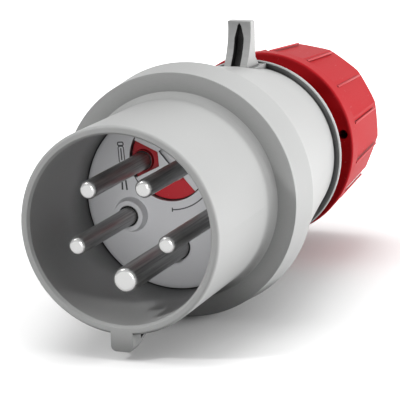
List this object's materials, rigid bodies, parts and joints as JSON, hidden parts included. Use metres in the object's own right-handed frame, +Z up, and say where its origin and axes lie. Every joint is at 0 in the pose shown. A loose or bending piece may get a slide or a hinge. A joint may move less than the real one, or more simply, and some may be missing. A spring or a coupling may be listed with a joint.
{
  "type": "industrial pin and sleeve plug",
  "caption": "Round industrial power plug with pins inside a keyed sleeve, a turnable phase inverter and a screwed cable gland nut.",
  "frame": {"origin": "on the floor under the middle of the plug's length, below its axis", "axes": "+Y along the plug from the mouth to the cable end, +Z up towards the hook, the key underneath"},
  "size_m": [0.0716, 0.1536, 0.0768],
  "materials": {
    "grey_plastic": "moulded light grey, fine satin",
    "light_grey_plastic": "moulded grey, satin",
    "white_plastic": "plain moulded slip ring",
    "red_plastic": "moulded red, satin",
    "nickel_plate": "nickel plated and polished",
    "brass": "bare brass",
    "steel": "zinc plated",
    "rubber": "black moulded rubber"
  },
  "bodies": {
    "root": {"front_housing": "grey_plastic", "pin_carrier": "light_grey_plastic", "terminal_carrier": "light_grey_plastic", "carrier_screws": "steel", "pin_l1": "nickel_plate", "pin_neutral": "nickel_plate", "pin_earth": "nickel_plate", "terminal_l2": "brass", "terminal_l3": "brass", "terminal_screws": "steel", "rotor_spring": "steel", "rear_housing": "red_plastic", "housing_seal": "rubber", "gland_seal": "rubber", "clamp_collet": "grey_plastic"},
    "inverter_slide": {"spring_washer": "steel"},
    "inverter": {"inverter_rotor": "red_plastic", "inverter_cover": "light_grey_plastic", "pin_l2": "nickel_plate", "pin_l3": "nickel_plate", "rotor_clip": "steel"},
    "washer_slide": {"thrust_washer": "white_plastic"},
    "nut": {"gland_nut": "red_plastic"}
  },
  "joints": [
    {"name": "inverter_press", "type": "slide", "parent": "root", "child": "inverter_slide", "axis": [0, 1, 0], "range_m": [0, 0.002], "stiffness_N_per_m": 1500, "springref_m": -0.003, "deforming": ["rotor_spring"]},
    {"name": "inverter_turn", "type": "hinge", "parent": "inverter_slide", "child": "inverter", "pos_m": [-0.00086, -0.03475, 0.04677], "axis": [0, -1, 0], "range_deg": [0, 180]},
    {"name": "gland_nut_travel", "type": "slide", "parent": "root", "child": "washer_slide", "axis": [0, 1, 0], "range_m": [0, 0.0061]},
    {"name": "gland_nut_turn", "type": "hinge", "parent": "washer_slide", "child": "nut", "pos_m": [0, 0.05325, 0.0358], "axis": [0, 1, 0], "range_deg": [0, 720]}
  ],
  "couplings": [
    {"joint": "gland_nut_travel", "follows": "gland_nut_turn", "m_per_rad": 0.00047746}
  ]
}
